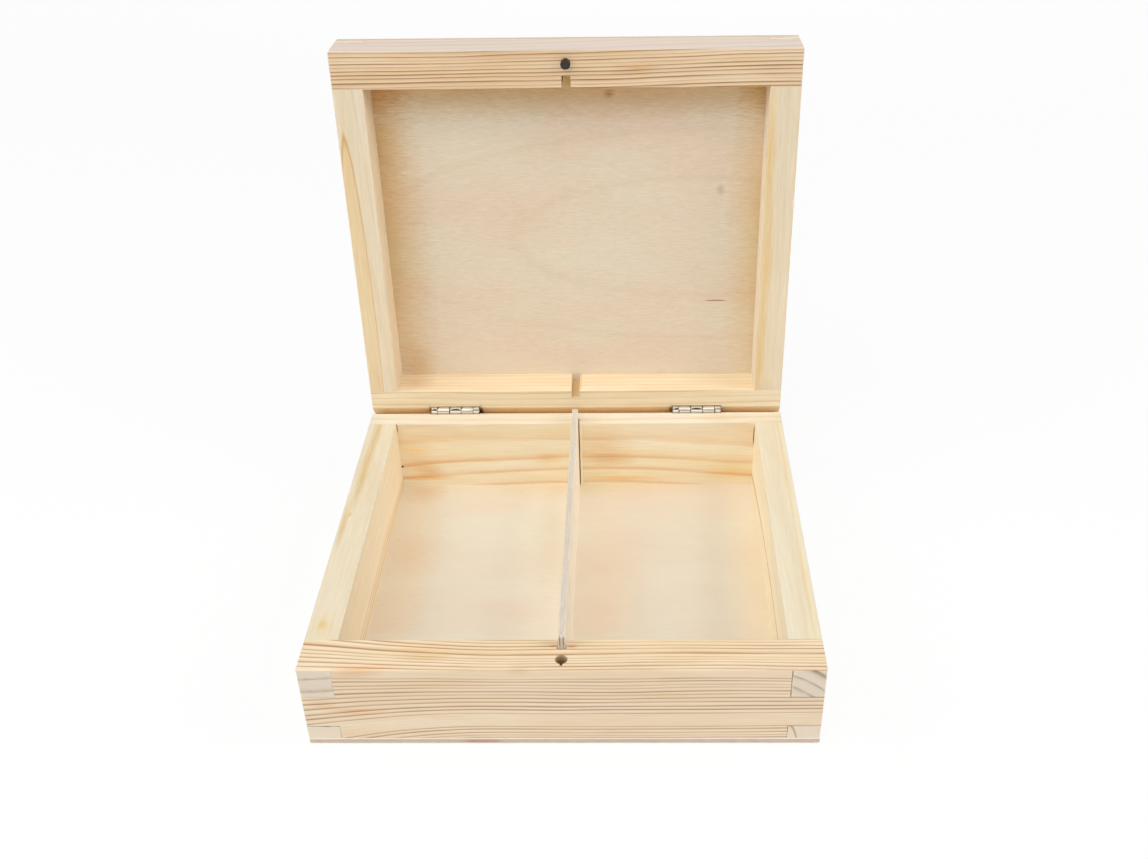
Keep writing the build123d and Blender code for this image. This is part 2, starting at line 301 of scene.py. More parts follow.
# %% [markdown]
# The distance from the pith, divided by the width of a ring, counts the rings. Slow noise bends the
# pith, a bow curves the board's lines up or down along its length, and a taper makes rings leave the
# face at a slant, which draws flames. More noise makes some rings wide and some narrow, like good
# and bad summers, whose luck changes over about three rings. Near a knot the rings spread out like a
# fan, as at the front wall's left end.

# %% Counting rings
sway_length, sway_width = 110, 34
luck_pace, luck_reach = 0.37, 1.5


def ring_count(tree, wood, board):
    """Distance from the pith in millimetres, and the same in rings."""
    sway = figure(tree, wood, sway_length, sway_width, board["seed"], roughness=0.45)
    centred = vector_worked_out(tree, "SUBTRACT", sway.outputs["Color"], (0.5, 0.5, 0.5))
    bend = board["bend"] * 2
    swayed = vector_worked_out(tree, "MULTIPLY_ADD", centred, (0, bend, bend), wood)
    parts = add(tree, "ShaderNodeSeparateXYZ", {}, {0: swayed})
    squared = worked_out(tree, "MULTIPLY", parts.outputs["X"], parts.outputs["X"])
    raised = worked_out(tree, "MULTIPLY_ADD", squared, board["bow"], parts.outputs["Z"])
    across = add(tree, "ShaderNodeCombineXYZ", {}, {1: parts.outputs["Y"], 2: raised})
    radius = vector_worked_out(tree, "LENGTH", across)
    distance = worked_out(tree, "MULTIPLY_ADD", parts.outputs["X"], board["taper"], radius)
    if "fan" in board:
        start, full, middle, spread = board["fan"]
        beyond = worked_out(tree, "SUBTRACT", distance, middle)
        narrowed = between(tree, parts.outputs["X"], start, full, 1.0, 1 / spread)
        narrowed.interpolation_type = "SMOOTHSTEP"
        distance = worked_out(tree, "MULTIPLY_ADD", beyond, narrowed, middle)
    even = worked_out(tree, "DIVIDE", distance, board["ring"])
    summers = worked_out(tree, "MULTIPLY", even, luck_pace)
    place = add(tree, "ShaderNodeCombineXYZ", {}, {0: summers, 1: board["seed"]})
    luck = add(tree, "ShaderNodeTexNoise", {"noise_dimensions": "2D"}, {
        "Vector": place, "Scale": 1.0, "Detail": 1.0})
    uneven = worked_out(tree, "MULTIPLY_ADD", luck, luck_reach, even)
    rings = worked_out(tree, "ADD", uneven, board["phase"])
    return distance, rings


print("The pith sways in waves about", sway_length, "mm long")

# %% [markdown]
# Within one ring the wood darkens slowly towards late summer and steps back to pale at the winter
# line. The fraction of the ring count says where in its ring a point lies, and a colour ramp turns
# that into darkness. The whole part of the count names the ring, and picks how strong its line is.
# Every line also fades in and out along the board. In a stretch of years, given by its distances from
# the pith, all the lines can be bolder or nearly gone.

# %% Lines of the rings
summer_start, summer_middle, summer_peak = 0.30, 0.62, 0.86
middle_darkness = 0.22
stretch_edge = 0.4


def ring_lines(tree, board, distance, rings, unevenness):
    """How dark the summer wood is at a point, before and after the board's own contrast."""
    season = worked_out(tree, "FRACT", rings)
    line = add(tree, "ShaderNodeValToRGB", {}, {"Fac": season})
    ramp = line.color_ramp
    ramp.elements[0].position = summer_start
    ramp.elements[1].position = summer_peak
    ramp.elements.new(1.0).color = (0, 0, 0, 1)
    ramp.elements.new(summer_middle).color = (middle_darkness, middle_darkness, middle_darkness, 1)
    ramp.elements[2].color = (1, 1, 1, 1)

    year = worked_out(tree, "FLOOR", rings)
    name = add(tree, "ShaderNodeCombineXYZ", {}, {0: year, 1: board["seed"]})
    luck = add(tree, "ShaderNodeTexWhiteNoise", {"noise_dimensions": "2D"}, {"Vector": name})
    strength = between(tree, luck, 0.0, 1.0, board["least"], 1.0)
    fading = between(tree, unevenness, 0.3, 0.7, 0.45, 1.1)
    factors = [strength, fading]
    for first, last, boldness in board["stretches"]:
        start = between(tree, distance, first - stretch_edge, first + stretch_edge)
        stop = between(tree, distance, last - stretch_edge, last + stretch_edge)
        stretch = worked_out(tree, "SUBTRACT", start, stop)
        factors.append(between(tree, stretch, 0.0, 1.0, 1.0, boldness))

    share = line
    for factor in factors:
        share = worked_out(tree, "MULTIPLY", share, factor)
    faded = worked_out(tree, "MULTIPLY", share, board["contrast"], clamp=True)
    return share, faded


print(f"Summer wood starts at {summer_start:.0%} of a ring and is darkest at {summer_peak:.0%}")

# %% [markdown]
# Three colours make the wood: spring wood, a warmer patch of it, and the summer lines. Fine fibres
# then lighten and darken everything a little. A face cut across the grain shows the same rings, but
# its open pores drink in light, so it is greyer. The outside of the case was sanded last and has
# paled, so a soft grey pink is mixed in there. Which faces those are is known from their place.

# %% Colours of the wood
end_spring, end_summer = "e9dac5", "957f59"
paled_wood = "ddd0c6"
tone_length, tone_width = 70, 9
end_thinning = 1.6
skin_from, skin_to = 0.5, 0.2
half_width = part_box("base_panel")[1].x * 1000
half_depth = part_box("base_panel")[1].y * 1000


def speckled(tree, colour, noise, low, high, darkest, lightest):
    """Darkens a colour where the noise is low, and lightens it where the noise is high."""
    lightness = between(tree, noise, low, high, darkest, lightest)
    return add(tree, "ShaderNodeHueSaturation", {}, {"Value": lightness, "Color": colour})


def wood_colours(tree, wood, board, end_share, share, fibres):
    """The wood itself: spring and summer colours along the grain, greyer ones across it."""
    tone = between(tree, figure(tree, wood, tone_length, tone_width, board["seed"] + 7, 3.0), 0.38, 0.68)
    ground = mixed(tree, tone, linear(board["spring"]), linear(board["warm"]))
    lined = mixed(tree, share, ground, linear(board["summer"]))
    fibrous = speckled(tree, lined, fibres, 0.25, 0.75, 0.93, 1.05)
    thin = worked_out(tree, "POWER", end_share, end_thinning, clamp=True)
    end_grain = mixed(tree, thin, linear(end_spring), linear(end_summer))
    return fibrous, end_grain


def outside_share(tree, place_parts, board):
    """How much a point has paled: nothing inside, and the board's own share on the case's outside."""
    at_side = between(tree, place_parts.outputs["X"], half_width - skin_from, half_width - skin_to)
    at_front = between(tree, place_parts.outputs["Y"], half_depth - skin_from, half_depth - skin_to)
    outside = worked_out(tree, "MAXIMUM", at_side, at_front)
    return worked_out(tree, "MULTIPLY", outside, board["paling"])


print("The case is", round(2 * half_width), "x", round(2 * half_depth), "mm outside")

# %% [markdown]
# A board also has marks that belong to one place: a streak of resin, a small knot, a corner where
# two boards don't quite meet. Each is a soft ellipsoid with a middle and reaches in millimetres.
# Inside it the wood is multiplied by a tone, and noise frays its edge, so it looks grown, not sprayed.
# A hollow one is only an outline, like the flame that a ring draws where a board cuts it flat.
# Some marks are painted shade instead: the darker top and side edges inside the upright lid, and the
# dark splits of the hinges.

# %% Marks in one place
fraying = 0.5


def marked(tree, colour, case, ragged, marks):
    """Lays marks over a colour. Each has a middle, reaches, a tone and how soft its edge is."""
    for middle, reach, tone, softness, *hollow in marks:
        offset = vector_worked_out(tree, "SUBTRACT", case, middle)
        scaled = vector_worked_out(tree, "DIVIDE", offset, reach)
        away = vector_worked_out(tree, "LENGTH", scaled)
        frayed = worked_out(tree, "MULTIPLY_ADD", ragged, fraying * softness, away)
        edge = 1 + fraying * softness / 2
        share = between(tree, frayed, edge, edge - softness)
        if hollow:
            inside = between(tree, frayed, edge - softness, edge - 2 * softness)
            share = worked_out(tree, "SUBTRACT", share, inside)
        colour = mixed(tree, share, colour, linear(tone), "MULTIPLY")
    return colour


print(f"Noise frays the edge of a mark by up to {fraying / 2:.0%} of its reach")

# %% [markdown]
# The saw and the drill leave other traces. Round the end grain of a finger a thin dark line shows
# where the joint didn't quite close. Inside the slots and the catch hole shade is painted in, browner
# the deeper down; on the back wall the tone is pale and paints light into the dark gap by the divider.
# The bevels along the hinge groove get a painted brown shade, the shade that lies in the groove.
# The rims get painted shade too, as they face the lamps above. All of them are found by place, or
# by the way that the surface faces.

# %% Joints, slots and bevels
joint_brown, groove_shade_pale, groove_shade_deep = "6a4a2c", "fadfb5", "eac28f"
thinnest_gap, widest_gap = 0.1, 0.5
slot_middle, slot_zone, below_rim, off_outside = 0.3, 3.0, 0.5, 1.0
shallow_cut, deep_cut, least_slot_shading, most_slot_shading = 0.6, 4.0, 0.4, 0.9
rim_skin = 0.3
squarely = 0.97


def jointed(tree, colour, place_parts, board, end, unevenness):
    """Draws the gaps of the finger joints: at the board's inner face and at the levels of fingers."""
    if board["grain"] == grain_across:
        thick, inner = "Y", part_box("base_back_wall")[0].y * 1000
    else:
        thick, inner = "X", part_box("base_right_wall")[0].x * 1000
    gap_width = between(tree, unevenness, 0.3, 0.7, thinnest_gap, widest_gap)
    for level, darkness in board["gaps"]:
        if level == "inner face":
            away = worked_out(tree, "SUBTRACT", place_parts.outputs[thick], inner)
        else:
            above = worked_out(tree, "SUBTRACT", place_parts.outputs["Z"], level)
            away = worked_out(tree, "ABSOLUTE", above)
        near = worked_out(tree, "LESS_THAN", away, gap_width)
        on_end = worked_out(tree, "MULTIPLY", near, end)
        share = worked_out(tree, "MULTIPLY", on_end, darkness)
        colour = mixed(tree, share, colour, linear(joint_brown))
    return colour


def painted_slot_shading(tree, colour, case, place_parts, board):
    """Paints shade inside the slots and holes near the middle of a wall's rim, stronger deeper down, by
    mixing in the board's slot tone; where that tone is pale, as on the back wall, it paints light into the
    dark gap beside the divider.
    """
    case_parts = add(tree, "ShaderNodeSeparateXYZ", {}, {0: case})
    off_middle = worked_out(tree, "SUBTRACT", case_parts.outputs["X"], slot_middle)
    aside = worked_out(tree, "ABSOLUTE", off_middle)
    below = worked_out(tree, "SUBTRACT", case_parts.outputs["Z"], board["rim"])
    depth = worked_out(tree, "ABSOLUTE", below)
    share = between(tree, depth, shallow_cut, deep_cut, least_slot_shading, most_slot_shading)
    limits = [
        worked_out(tree, "LESS_THAN", aside, slot_zone),
        worked_out(tree, "LESS_THAN", place_parts.outputs["Y"], half_depth - off_outside),
        worked_out(tree, "GREATER_THAN", depth, below_rim),
    ]
    for limit in limits:
        share = worked_out(tree, "MULTIPLY", share, limit)
    return mixed(tree, share, colour, linear(board["cut"]))


def rim_shaded(tree, colour, place_parts, board):
    """Tones down the rim, the flat face that meets the other half: painted shade, since the rims face the
    lamps above and come out brighter than the faces below them.
    """
    above = worked_out(tree, "SUBTRACT", place_parts.outputs["Z"], board["rim"])
    off_rim = worked_out(tree, "ABSOLUTE", above)
    on_rim = worked_out(tree, "LESS_THAN", off_rim, rim_skin)
    return mixed(tree, on_rim, colour, linear(board["rim_shade"]), "MULTIPLY")


def bevel_shaded(tree, colour, board, share):
    """Paints shade on the bevel of the hinge groove as a brown tone, with the rings still showing."""
    bevel = worked_out(tree, "GREATER_THAN", facing(tree, board["bevel"]), squarely)
    brown = mixed(tree, share, linear(groove_shade_pale), linear(groove_shade_deep))
    return mixed(tree, bevel, colour, brown)


def bevel_direction(node_name):
    """The way a back wall's bevel faces: the direction of its largest slanted faces."""
    areas = {}
    for face in nodes[node_name].data.polygons:
        along_hinge = abs(face.normal.x) < 0.1
        slanted = max(abs(face.normal.y), abs(face.normal.z)) < 0.95
        if along_hinge and slanted:
            direction = tuple(round(part, 2) for part in face.normal)
            areas[direction] = areas.get(direction, 0) + face.area
    return Vector(max(areas, key=areas.get)).normalized()


print("Groove bevels face", bevel_direction("base_back_wall"), bevel_direction("lid_back_wall"))

# %% [markdown]
# One function puts the steps together into a board's material. Planed and sanded pine has no varnish
# here, so it is nearly matt: the roughness is high and the reflection weak. The fibres that colour
# it also stand up a little, as bumps of a few hundredths of a millimetre.

# %% Sanded pine
pine_roughness = 0.62


def coat(tree, shader, colour, height, strength, depth):
    """Gives a shader its colour, and bumps that are at most as deep as given, in metres."""
    relief = add(tree, "ShaderNodeBump", {}, {"Strength": strength, "Distance": depth, "Height": height})
    tree.links.new(colour.outputs[2], shader.inputs["Base Color"])
    tree.links.new(relief.outputs[0], shader.inputs["Normal"])


def leave_bare(shader, roughness):
    """Wood without varnish, which hardly shines."""
    shader.inputs["Roughness"].default_value = roughness
    shader.inputs["IOR"].default_value = 1.5
    shader.inputs["Specular IOR Level"].default_value = 0.3


def pine(name, board):
    """Sanded pine for one board, whose lengths are in millimetres in the closed box."""
    material, tree, shader = new_material("sanded_pine_" + name)
    place = tree_place(board["closing"], board["grain"], board["pith"], board["lean"])
    wood = mapped(tree, place)
    case = mapped(tree, millimetres @ board["closing"])
    beyond = vector_worked_out(tree, "ABSOLUTE", case)
    place_parts = add(tree, "ShaderNodeSeparateXYZ", {}, {0: beyond})
    along = place.to_3x3().transposed() @ Vector((1, 0, 0))
    end = between(tree, facing(tree, along), 0.75, 0.9)
    fibres = figure(tree, wood, fibre_length, fibre_width, board["seed"] + 11, 3.0, 0.6)
    unevenness = figure(tree, wood, 45, 6, board["seed"] + 3)

    distance, rings = ring_count(tree, wood, board)
    end_share, share = ring_lines(tree, board, distance, rings, unevenness)
    colour, end_grain = wood_colours(tree, wood, board, end_share, share, fibres)
    colour = mixed(tree, outside_share(tree, place_parts, board), colour, linear(paled_wood))
    colour = mixed(tree, end, colour, end_grain)
    colour = jointed(tree, colour, place_parts, board, end, unevenness)
    colour = painted_slot_shading(tree, colour, case, place_parts, board)
    if "bevel" in board:
        colour = bevel_shaded(tree, colour, board, share)
    colour = marked(tree, colour, case, fibres, board["marks"])
    colour = rim_shaded(tree, colour, place_parts, board)

    coat(tree, shader, colour, fibres, strength=0.35, depth=0.0002)
    leave_bare(shader, pine_roughness)
    return material


print("Pine is matt: roughness", pine_roughness)

# %% [markdown]
# The eight boards come from different trees, or different heights of one. The front boards were
# sawn through fine, even rings, so they are striped. The back wall has a few broad orange lines.
# The side boards were sawn nearly along their rings, so they are pale, with a single streak or
# flame. The table gives what sets each board apart from the usual one: how it lay in its tree, its
# rings, its colours, and marks for the streaks, knots and darker corners that belong to one place.
# Some marks and the slot and rim tones are painted shade, such as the darker top of the lid's sides.

# %% The eight boards
base_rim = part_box("base_front_wall")[1].z * 1000
lid_rim = min((turned_shut @ v.co).z for v in nodes["lid_front_wall"].data.vertices) * 1000
base_board = {
    "closing": as_it_stands, "rim": base_rim, "lean": (0.0, 0.0), "taper": 0.0, "bend": 2.2, "bow": 0.0,
    "phase": 0.0, "least": 0.35, "stretches": (), "paling": 0.12, "cut": "ab8a52", "rim_shade": "fcfbf8",
    "gaps": (("inner face", 0.3), (11.0, 0.3), (28.2, 0.3)),
}
lid_board = {**base_board, "closing": turned_shut, "rim": lid_rim,
             "gaps": (("inner face", 0.3), (58.8, 0.3))}
boards = {
    "base_front_wall": {
        **base_board, "grain": grain_across, "pith": (0, -46, 88), "lean": (0.3, 0.4), "seed": 1.3,
        "ring": 1.45, "contrast": 1.4, "bend": 1.5, "least": 0.5,
        "stretches": ((70.0, 72.2, 0.1), (72.2, 88.5, 1.4), (88.5, 93.6, 0.2), (93.6, 110, 1.3)),
        "fan": (-30, -125, 73, 1.45),
        "cut": "9c7a42", "spring": "f3e0c3", "summer": "b58a5f", "warm": "edd4ae", "marks": (
            ((-88, -100, 20.5), (16, 4, 2.8), "ffecda", 0.9),
            ((-86, -100, 42), (15, 3, 4), "f4e4d0", 1.0),
            ((-102, -100, 24), (8, 3, 3), "f9e8d0", 1.0),
            ((-57, -92.5, 44), (16, 3.5, 3), "f6ebda", 1.0),
            ((-17, -99, 43), (7, 3, 3), "f5eee2", 1.0),
            ((-81, -98.5, 44), (17, 2.6, 3), "ffead4", 0.9),
            ((-60, -88, 44), (22, 1.6, 3), "fff4e2", 0.9),
            ((-3.5, -85.6, 44), (2.4, 1.5, 1.5), "f2e0c8", 0.9),
            ((3.9, -86.2, 44), (2.8, 1.5, 1.5), "efdcc2", 0.9)),
    },
    "base_back_wall": {
        **base_board, "grain": grain_across, "pith": (0, 112, 43.2), "seed": 4.2, "ring": 5.6,
        "phase": 0.44, "contrast": 0.85, "bow": 0.0006, "bevel": bevel_direction("base_back_wall"),
        # A pale slot tone here: painted light in the dark gap beside the divider.
        "stretches": ((20, 32.6, 0.5),), "cut": "fff0d0", "rim_shade": "f2f4fc",
        "spring": "f8edd3", "summer": "e3a962", "warm": "f5e4be", "marks": (
            ((-84, 82, 8.6), (20, 4, 2.2), "ffe2b8", 0.9),
            ((-88, 82, 27.0), (14, 4, 5), "fff0da", 1.0),
            ((24, 82, 8.0), (26, 4, 2.0), "ffe8c4", 0.9),
            ((84, 82, 12.0), (18, 4, 6), "fff0d4", 1.0),
            ((14, 82, 29.0), (20, 4, 14), "f7e7d6", 1.0),
            ((19, 82, 20.5), (15, 4, 5), "f4e0ca", 1.0),
            ((-16, 82, 21.0), (10, 4, 5), "f8e8d2", 1.0),
            ((-85, 82, 17.0), (14, 4, 9), "f8e6d0", 1.0),
            ((-80, 82, 13.0), (10, 4, 5), "f6e4d0", 1.0),
            ((78, 88, 44), (16, 5, 3), "f9efde", 1.0),
            ((-95.2, 82, 16.2), (1.1, 1.2, 0.9), "7a5634", 0.4),
            ((-95.4, 82, 41.5), (0.4, 1.2, 3.5), "7a5834", 0.4),
            ((95.3, 82, 36.0), (0.35, 1.2, 7.5), "5a4230", 0.4)),
    },
    "base_left_wall": {
        **base_board, "grain": grain_back, "pith": (-108, 0, 94), "lean": (1.0, 0.6), "seed": 7.9,
        "taper": 0.02, "ring": 7.3, "contrast": 0.15, "stretches": ((78, 99, 0.2),), "rim_shade": "f0f2f3",
        "spring": "f3e5cb", "summer": "d6ae74", "warm": "f2e0be",
        "gaps": (("inner face", 0.2), (11.0, 0.9), (28.2, 0.3)), "marks": (
            ((-104.6, 76, 44), (2.8, 36, 5), "f2e4c2", 0.9),
            ((-105.4, 36, 44), (2.8, 36, 5), "f2e2be", 0.9),
            ((-108.0, -3, 44), (2.2, 28, 5), "f6e6c8", 0.9),
            ((-106.0, 4.3, 44), (1.0, 2.4, 3), "f4eab0", 0.8),
            ((-103.6, -73.5, 44), (5.6, 11, 4), "fff6e0", 0.9),
            ((-104.2, -72.5, 44), (2.6, 3.4, 4), "fbf0c8", 0.9),
            ((-95.5, -20, -30), (1.2, 260, 37.5), "d2aa74", 0.014, "hollow"),
            ((-95.5, -20, -30), (1.2, 240, 40.4), "d9b784", 0.014, "hollow"),
            ((-95.5, -20, -30), (1.2, 220, 43.6), "e2c79c", 0.014, "hollow"),
            ((-104, -100, 36), (12, 2, 10), "f9f9fb", 0.3)),
    },
    "base_right_wall": {
        **base_board, "grain": grain_back, "pith": (80, 0, 0), "seed": 2.6, "ring": 7.0,
        "contrast": 0.2, "stretches": ((0, 31, 0.2),), "rim_shade": "efeeec",
        "spring": "f8eed4", "summer": "dcb880", "warm": "f7e8ca",
        "gaps": (("inner face", 0.9), (11.0, 0.3), (28.2, 0.3)), "marks": (
            ((107.2, 40, 44), (1.2, 62, 5), "fff0d4", 0.9),
            ((106.9, -45, 44), (1.2, 52, 5), "fff0d4", 0.9),
            ((95.5, -15, -20), (8, 150, 41), "c4b69a", 0.035, "hollow"),
            ((104, -100, 36), (12, 2, 10), "f9f9fb", 0.3)),
    },
    "lid_front_wall": {
        **lid_board, "grain": grain_across, "pith": (0, 10, 20), "lean": (0.6, 0.9), "seed": 5.5,
        "ring": 1.8, "contrast": 1.65, "paling": 0.75, "rim_shade": "fcfbfa",
        "spring": "ead1af", "summer": "a0764c", "warm": "e1c19a", "marks": (
            ((33, -91, 44.6), (14, 3.5, 3), "f2e4d0", 1.0),),
    },
    "lid_back_wall": {
        **lid_board, "grain": grain_across, "pith": (0, 60, 80), "lean": (0.0, 0.5), "seed": 3.1,
        "ring": 2.6, "contrast": 0.6, "bevel": bevel_direction("lid_back_wall"), "cut": "e8cda0",
        "rim_shade": "fbfcfb", "spring": "f8e8ca", "summer": "d8aa69", "warm": "f5deb8", "marks": (
            ((-51.4, 96, 47), (1.3, 7, 6), "9a7850", 0.6),
            ((-78.8, 96, 47), (1.2, 7, 6), "b89468", 0.6),
            ((51.2, 96, 47), (1.1, 7, 6), "c0a078", 0.6),
            ((-87, 82, 55), (12, 4, 12), "e9e1da", 1.0)),
    },
    "lid_left_wall": {
        **lid_board, "grain": grain_back, "pith": (-106.4, 0, 32.6), "seed": 8.8,
        "taper": -0.03, "ring": 3.0, "contrast": 0.25,
        "spring": "efe0c7", "summer": "c9a369", "warm": "eedbba", "rim_shade": "fdfdfd", "marks": (
            # Painted shade: the upright lid darker towards its top.
            ((-103, -90, 44.6), (16, 130, 3), "f1f0ee", 1.0),
            ((-107.2, 40, 44.6), (5.0, 103, 3), "fff6e2", 0.1),
            ((-107.2, 40, 44.6), (5.0, 103, 3), "ecd0ac", 0.05, "hollow")),
    },
    "lid_right_wall": {
        **lid_board, "grain": grain_back, "pith": (94, 0, 30), "seed": 6.4, "ring": 4.0,
        "contrast": 0.25, "spring": "f5ead6", "summer": "d8b482", "warm": "f3e4ca", "marks": (
            # Painted shade: the upright lid darker towards its top.
            ((103, -90, 44.6), (16, 130, 3), "efeeed", 1.0),
            ((96.8, -48, 44.6), (3.4, 46, 3), "faecc6", 0.9),
            ((98.2, 8, 44.6), (3.6, 46, 3), "faeac0", 0.9),
            ((97.6, 62, 44.6), (3.4, 44, 3), "faecc6", 0.9),
            ((101, 86, 44.6), (8, 12, 3), "f4efe6", 1.0)),
        "rim_shade": "f7f1e6",
    },
}
for node_name, board in boards.items():
    dress(node_name, pine(node_name, board))
print("Boards dressed:", len(boards), "with rims at", round(base_rim, 1), "and", round(lid_rim, 1), "mm")

# %% [markdown]
# The floor, the lid's top and the divider are thin plywood: three sheets of pale veneer, glued with
# the middle one crosswise. A peeled veneer has no clear ring lines, only a soft cloudy figure and
# short fine pores. The edge tells what it is: pale, greyish pink, pale, like a thin sandwich.
# Which layer a point belongs to depends only on its depth in the sheet, so a ramp over the depth
# colours the edge. The faces are told from the edge by the way they face.

# %% Plywood
plywood_roughness = 0.6
glue_inwards, glue_outwards = 0.06, 0.08


def veneer_colour(tree, wood, sheet):
    """The face of a peeled veneer: soft clouds and fine pores."""
    clouds = between(tree, figure(tree, wood, 70, 30, sheet["seed"]), 0.35, 0.65)
    ground = mixed(tree, clouds, linear(sheet["face"]), linear(sheet["patch"]))
    pores = figure(tree, wood, 4, 0.5, sheet["seed"] + 5, 1.5, 0.6)
    return speckled(tree, ground, pores, 0.25, 0.75, 1 - sheet["pores"], 1 + sheet["pores"]), pores


def edge_colour(tree, wood, sheet):
    """The sandwich that shows at an edge, from the middle of the sheet outwards."""
    parts = add(tree, "ShaderNodeSeparateXYZ", {}, {0: wood})
    depth = worked_out(tree, "ABSOLUTE", parts.outputs[sheet["thin"]])
    half = sheet["thickness"] / 2
    layers = add(tree, "ShaderNodeValToRGB", {}, {"Fac": between(tree, depth, 0.0, half)})
    glue = 1 - sheet["veneer"] / half
    ramp = layers.color_ramp
    core, core_edge, glue_line, veneer_edge, veneer = sheet["layers"]
    ramp.elements[0].color = linear(core)
    ramp.elements[1].color = linear(veneer)
    for position, tone in (
            (glue - glue_inwards, core_edge), (glue, glue_line), (glue + glue_outwards, veneer_edge)):
        ramp.elements.new(position).color = linear(tone)
    specks = figure(tree, wood, 3.5, 1.2, sheet["seed"] + 9, 3.0)
    return speckled(tree, layers, specks, 0.3, 0.7, 0.93, 1.05)


def plywood(name, sheet):
    """Three-layer plywood. The sheet's middle is a point on the plane between its two faces."""
    material, tree, shader = new_material("sanded_plywood_" + name)
    place = sheet["grain"] @ Matrix.Translation(-Vector(sheet["middle"])) @ millimetres @ sheet["closing"]
    wood = mapped(tree, place)
    case = mapped(tree, millimetres @ sheet["closing"])
    face, pores = veneer_colour(tree, wood, sheet)
    axis = Vector([1.0 if label == sheet["thin"] else 0.0 for label in "XYZ"])
    out = place.to_3x3().transposed() @ axis
    face_share = between(tree, facing(tree, out), 0.5, 0.75)
    colour = mixed(tree, face_share, edge_colour(tree, wood, sheet), face)
    colour = marked(tree, colour, case, pores, sheet["marks"])
    coat(tree, shader, colour, pores, strength=0.2, depth=0.0002)
    leave_bare(shader, plywood_roughness)
    return material


def thickness_of(node_name, axis):
    """A sheet's thickness in millimetres, measured where it stands."""
    low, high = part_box(node_name)
    return (high[axis] - low[axis]) * 1000


panel_thickness = thickness_of("base_panel", 2)
lid_top = max((turned_shut @ v.co).z for v in nodes["lid_panel"].data.vertices) * 1000
usual_sheet = {
    "closing": as_it_stands, "grain": grain_across, "thin": "Z", "thickness": panel_thickness,
    "veneer": 0.9, "pores": 0.055, "layers": ("d2c2b2", "ccb9a7", "b89a7c", "f3e4d6", "f8ecdd"),
}
sheets = {
    "base_panel": {
        **usual_sheet, "middle": (0, 0, panel_thickness / 2), "seed": 2.2,
        "face": "ede7d6", "patch": "ecdfcd", "pores": 0.02, "marks": (
            ((-84, 20, 3.6), (18, 95, 3), "faf0e3", 1.0),
            ((18, -10, 3.6), (22, 95, 3), "fff7ee", 1.0),
            ((92, 0, 3.6), (16, 95, 3), "fff8ea", 1.0),
            ((0, 80, 3.6), (110, 12, 3), "fff6e4", 1.0),
            ((-84, 76, 3.6), (15, 12, 3), "f5e6d6", 1.0),
            ((-11, 42, 3.6), (12, 60, 3), "f4f0e8", 1.0),
            ((-35, -100, 1.8), (11, 2, 1.2), "ecd4ca", 0.5)),
    },
    "lid_panel": {
        **usual_sheet, "closing": turned_shut, "middle": (0, 0, lid_top - panel_thickness / 2),
        "seed": 6.7, "face": "e9dfc9", "patch": "ead7c0", "marks": (
            ((0, -50, 63), (200, 120, 2.4), "f3eeea", 1.0),
            # Painted shade along the lid's side walls and at its upper left.
            ((-97, 0, 63), (26, 130, 2.4), "ebdabb", 0.8),
            ((97, 0, 63), (20, 130, 2.4), "f0e3c9", 0.8),
            ((-94, -52, 63), (15, 34, 2.4), "f2e2ca", 1.0),
            ((-86, 76, 63), (12, 18, 2.4), "f3e3cd", 1.0),
            ((-42, -83, 63), (26, 9, 2.4), "f4e4ce", 1.0),
            # Painted shade towards the lid's top, under its front wall, with a yellow tint of painted light
            # thrown off that wall.
            ((0, -85, 63), (300, 25, 2.4), "f5d088", 1.0),
            ((-92, -84, 63), (22, 20, 2.4), "f3d9ac", 1.0),
            ((93, -84, 63), (14, 24, 2.4), "f6e4b8", 1.0),
            ((66, 2, 63), (103, 35, 2.4), "fcfaf7", 0.07, "hollow"),
            ((66, 2, 63), (175, 60, 2.4), "fcfaf7", 0.04, "hollow"),
            ((75.3, -24.0, 63), (3.0, 3.6, 2.4), "e0d6c6", 1.0),
            ((19.7, -73.6, 63), (3.4, 2.8, 2.4), "d6b894", 1.0),
            ((74.6, 37.8, 63), (6.5, 0.45, 2.4), "c48f6c", 0.4)),
    },
    "divider": {
        **usual_sheet, "grain": grain_back, "middle": (0, 0, 0), "seed": 9.1, "thin": "Y",
        "thickness": thickness_of("divider", 0), "veneer": 0.8, "pores": 0.03,
        "face": "f6eee0", "patch": "f6ead8", "layers": ("d7cdc0", "d2c6b7", "c9bba7", "d9d0bf", "dcd2c2"),
        "marks": (
            ((-0.8, -88, 48), (0.35, 3, 4), "c4ab8c", 0.4),
            ((0.8, -88, 48), (0.35, 3, 4), "bfa583", 0.4)),
    },
}
for node_name, sheet in sheets.items():
    dress(node_name, plywood(node_name, sheet))
print("Plywood", round(panel_thickness, 2), "mm and", round(sheets["divider"]["thickness"], 2), "mm thick")

# %% [markdown]
# The hinges are rolled from thin steel and plated with nickel: bright, slightly warm, and worn to a
# satin that blurs the wood below and the white room above. Plating this cheap is never even, so the
# gloss varies softly along the barrel. Where the knuckles meet and where the strip's end closes the
# roll, painted shade makes it nearly black, standing for the shade in those narrow gaps, and those thin
# dark marks make it read as a hinge.
# A metal's colour is its reflection colour, so the base colour is light and metallic is 1.
# The magnet is dark nickel, with a darker rim where its cup ends.

# %% Plated metal
shade_and_rim_brown = "3a3022"


